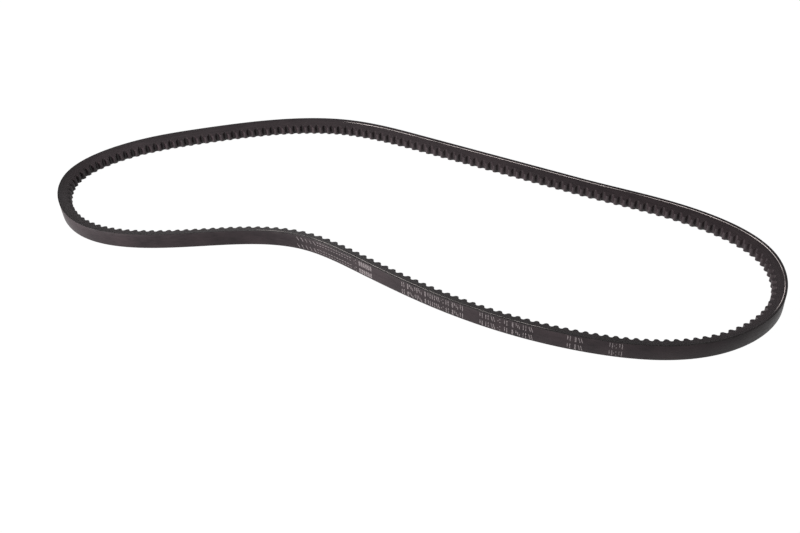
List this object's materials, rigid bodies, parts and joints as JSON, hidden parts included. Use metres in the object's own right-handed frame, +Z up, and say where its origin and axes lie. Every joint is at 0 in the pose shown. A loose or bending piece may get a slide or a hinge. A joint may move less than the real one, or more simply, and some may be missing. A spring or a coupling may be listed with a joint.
{
  "type": "v belt",
  "caption": "Narrow raw-edge V belt with moulded cogs inside, lying on its side as a kidney-shaped endless loop; canvas back, buried tension cord.",
  "frame": {"origin": "under the middle of the loop's bounding box, on the surface that the belt lies on", "axes": "+Z up, across the belt's width, from its lower edge to its upper one; +X along the loop's long way; the straight run is on the +Y side"},
  "size_m": [0.422, 0.147, 0.01],
  "materials": {
    "rubberised_canvas": "satin black rubberised canvas",
    "cushion_rubber": "matt black adhesion rubber",
    "polyester_cord": "matt grey twisted cord",
    "compression_rubber": "matt black fibre-filled rubber, cut flanks and moulded cogs"
  },
  "bodies": {
    "root": {"back_fabric": "rubberised_canvas", "overcord_cushion": "cushion_rubber", "tension_cord": "polyester_cord", "undercord_cushion": "cushion_rubber", "cogged_base": "compression_rubber"}
  },
  "joints": []
}
